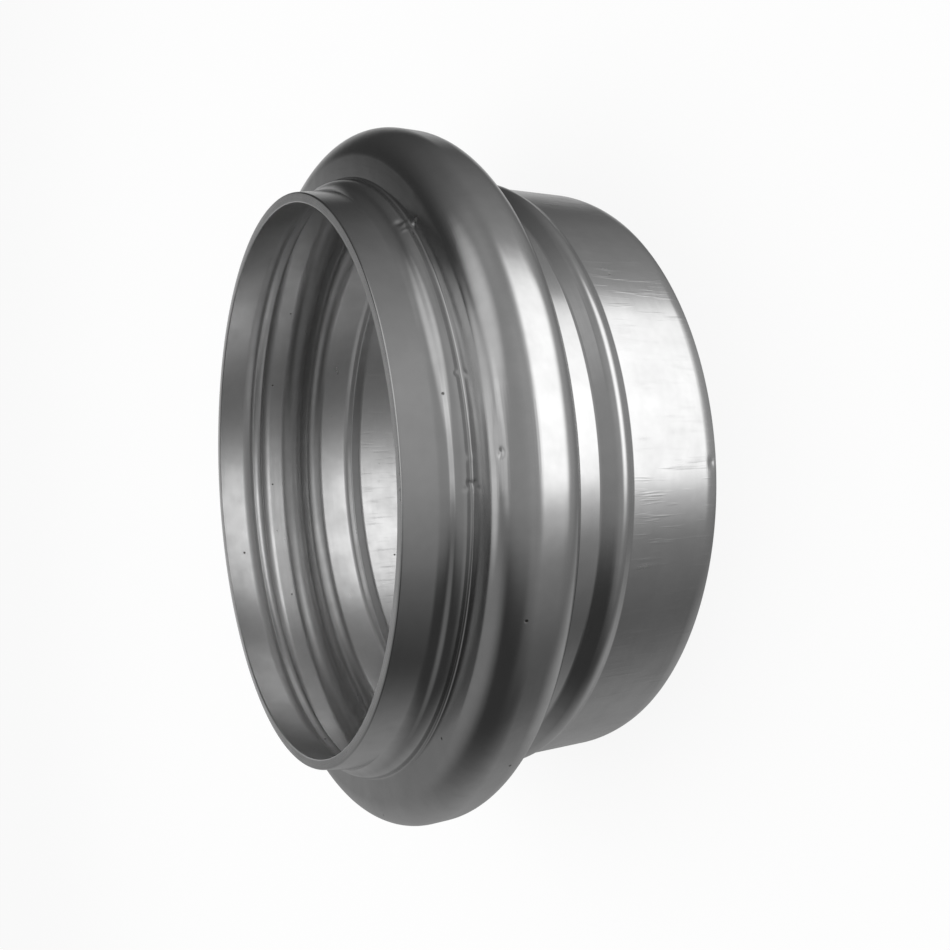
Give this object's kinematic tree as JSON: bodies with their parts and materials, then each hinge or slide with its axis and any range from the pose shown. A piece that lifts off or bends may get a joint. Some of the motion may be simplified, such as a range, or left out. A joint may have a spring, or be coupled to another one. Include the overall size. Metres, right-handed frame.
{
  "type": "marmon flange",
  "caption": "Roll-formed steel tube flange with a tapered pilot lip, a shoulder, a wide hollow clamp bead, a small stop bead and a plain skirt, for joining exhaust tubes with a band clamp.",
  "frame": {"origin": "centre of the square-cut skirt end, on the tube axis", "axes": "+Z along the tube axis, from the skirt end towards the pilot lip; the part is round, so X and Y are free"},
  "size_m": [0.145, 0.145, 0.0608],
  "materials": {
    "formed_steel": "bare roll-formed sheet steel, semi-bright, with fine forming lines round the tube"
  },
  "bodies": {
    "root": {"clamp_flange": "formed_steel"}
  },
  "joints": []
}
